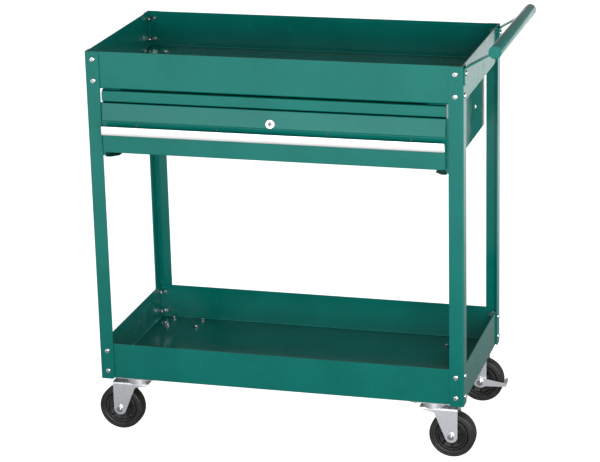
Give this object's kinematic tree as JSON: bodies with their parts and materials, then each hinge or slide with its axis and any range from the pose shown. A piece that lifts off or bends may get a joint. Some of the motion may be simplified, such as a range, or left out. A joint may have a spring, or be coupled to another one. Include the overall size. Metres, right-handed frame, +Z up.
{
  "type": "rolling utility cart",
  "caption": "Steel rolling cart with deep trays top and bottom, a lockable drawer under the top tray, a push handle on one end and swivel casters.",
  "frame": {"origin": "middle of the whole object's footprint, on the floor", "axes": "+X towards the push handle, -Y towards the drawer front, +Z up"},
  "size_m": [0.9158, 0.4293, 0.9104],
  "materials": {
    "green_enamel": "gloss dark green powder coat",
    "satin_aluminium": "satin",
    "zinc_plate": "bright zinc plate",
    "slide_zinc": "zinc-plated rolled steel",
    "lock_chrome": "polished",
    "tyre_rubber": "black solid rubber",
    "hub_plastic": "black moulded plastic"
  },
  "bodies": {
    "frame": {"bottom_tray": "green_enamel", "caster_balls": "zinc_plate", "caster_bolts": "zinc_plate", "caster_kingpins": "zinc_plate", "caster_nuts": "zinc_plate", "caster_plate_front_left": "zinc_plate", "caster_plate_front_right": "zinc_plate", "caster_plate_rear_left": "zinc_plate", "caster_plate_rear_right": "zinc_plate", "handle_end_caps": "green_enamel", "handle_strap_front": "green_enamel", "handle_strap_rear": "green_enamel", "handle_tube": "green_enamel", "housing_back": "green_enamel", "housing_bolts": "zinc_plate", "housing_front_rail": "green_enamel", "housing_nuts": "zinc_plate", "housing_side_left": "green_enamel", "housing_side_right": "green_enamel", "leg_front_left": "green_enamel", "leg_front_right": "green_enamel", "leg_rear_left": "green_enamel", "leg_rear_right": "green_enamel", "slide_outer_left": "slide_zinc", "slide_outer_right": "slide_zinc", "slide_screws": "zinc_plate", "top_tray": "green_enamel", "tray_bolts": "zinc_plate", "tray_nuts": "zinc_plate"},
    "drawer": {"drawer_box": "green_enamel", "drawer_front": "green_enamel", "drawer_pull_trim": "satin_aluminium", "drawer_screws": "zinc_plate", "slide_inner_left": "slide_zinc", "slide_inner_right": "slide_zinc", "lock_barrel": "lock_chrome", "lock_nut": "lock_chrome"},
    "lock_core": {"lock_plug": "lock_chrome", "lock_cam": "lock_chrome", "lock_cam_screw": "lock_chrome"},
    "slide_middle_left": {"slide_middle_left": "slide_zinc"},
    "slide_middle_right": {"slide_middle_right": "slide_zinc"},
    "fork_front_left": {"caster_fork_front_left": "zinc_plate", "caster_axle_front_left": "zinc_plate"},
    "wheel_front_left": {"tyre_front_left": "tyre_rubber", "wheel_hub_front_left": "hub_plastic"},
    "fork_front_right": {"caster_fork_front_right": "zinc_plate", "caster_axle_front_right": "zinc_plate"},
    "wheel_front_right": {"tyre_front_right": "tyre_rubber", "wheel_hub_front_right": "hub_plastic"},
    "fork_rear_left": {"caster_fork_rear_left": "zinc_plate", "caster_axle_rear_left": "zinc_plate"},
    "wheel_rear_left": {"tyre_rear_left": "tyre_rubber", "wheel_hub_rear_left": "hub_plastic"},
    "brake_rear_left": {"brake_lever_rear_left": "zinc_plate"},
    "fork_rear_right": {"caster_fork_rear_right": "zinc_plate", "caster_axle_rear_right": "zinc_plate"},
    "wheel_rear_right": {"tyre_rear_right": "tyre_rubber", "wheel_hub_rear_right": "hub_plastic"},
    "brake_rear_right": {"brake_lever_rear_right": "zinc_plate"}
  },
  "joints": [
    {"name": "drawer_slide", "type": "slide", "parent": "frame", "child": "drawer", "axis": [0, -1, 0], "range_m": [0, 0.35]},
    {"name": "slide_middle_left_slide", "type": "slide", "parent": "frame", "child": "slide_middle_left", "axis": [0, -1, 0], "range_m": [0, 0.175]},
    {"name": "slide_middle_right_slide", "type": "slide", "parent": "frame", "child": "slide_middle_right", "axis": [0, -1, 0], "range_m": [0, 0.175]},
    {"name": "lock_turn", "type": "hinge", "parent": "drawer", "child": "lock_core", "pos_m": [-0.02593, -0.20387, 0.728], "axis": [0, -0.9709, 0.2394], "range_deg": [0, 90]},
    {"name": "swivel_front_left", "type": "hinge", "parent": "frame", "child": "fork_front_left", "pos_m": [-0.35892, -0.1547, 0.1], "axis": [0, 0, 1], "continuous": true},
    {"name": "spin_front_left", "type": "hinge", "parent": "fork_front_left", "child": "wheel_front_left", "pos_m": [-0.39992, -0.1547, 0.05], "axis": [0, 1, 0], "continuous": true},
    {"name": "swivel_front_right", "type": "hinge", "parent": "frame", "child": "fork_front_right", "pos_m": [0.30707, -0.1547, 0.1], "axis": [0, 0, 1], "continuous": true},
    {"name": "spin_front_right", "type": "hinge", "parent": "fork_front_right", "child": "wheel_front_right", "pos_m": [0.34808, -0.1547, 0.05], "axis": [0, 1, 0], "continuous": true},
    {"name": "swivel_rear_left", "type": "hinge", "parent": "frame", "child": "fork_rear_left", "pos_m": [-0.35892, 0.1693, 0.1], "axis": [0, 0, 1], "continuous": true},
    {"name": "spin_rear_left", "type": "hinge", "parent": "fork_rear_left", "child": "wheel_rear_left", "pos_m": [-0.39992, 0.1693, 0.05], "axis": [0, 1, 0], "continuous": true},
    {"name": "brake_rear_left", "type": "hinge", "parent": "fork_rear_left", "child": "brake_rear_left", "pos_m": [-0.39992, 0.1693, 0.05], "axis": [0, -1, 0], "range_deg": [0, 14]},
    {"name": "swivel_rear_right", "type": "hinge", "parent": "frame", "child": "fork_rear_right", "pos_m": [0.30707, 0.1693, 0.1], "axis": [0, 0, 1], "continuous": true},
    {"name": "spin_rear_right", "type": "hinge", "parent": "fork_rear_right", "child": "wheel_rear_right", "pos_m": [0.34808, 0.1693, 0.05], "axis": [0, 1, 0], "continuous": true},
    {"name": "brake_rear_right", "type": "hinge", "parent": "fork_rear_right", "child": "brake_rear_right", "pos_m": [0.34808, 0.1693, 0.05], "axis": [0, 1, 0], "range_deg": [0, 14]}
  ],
  "couplings": [
    {"joint": "slide_middle_left_slide", "follows": "drawer_slide", "ratio": 0.5},
    {"joint": "slide_middle_right_slide", "follows": "drawer_slide", "ratio": 0.5}
  ]
}
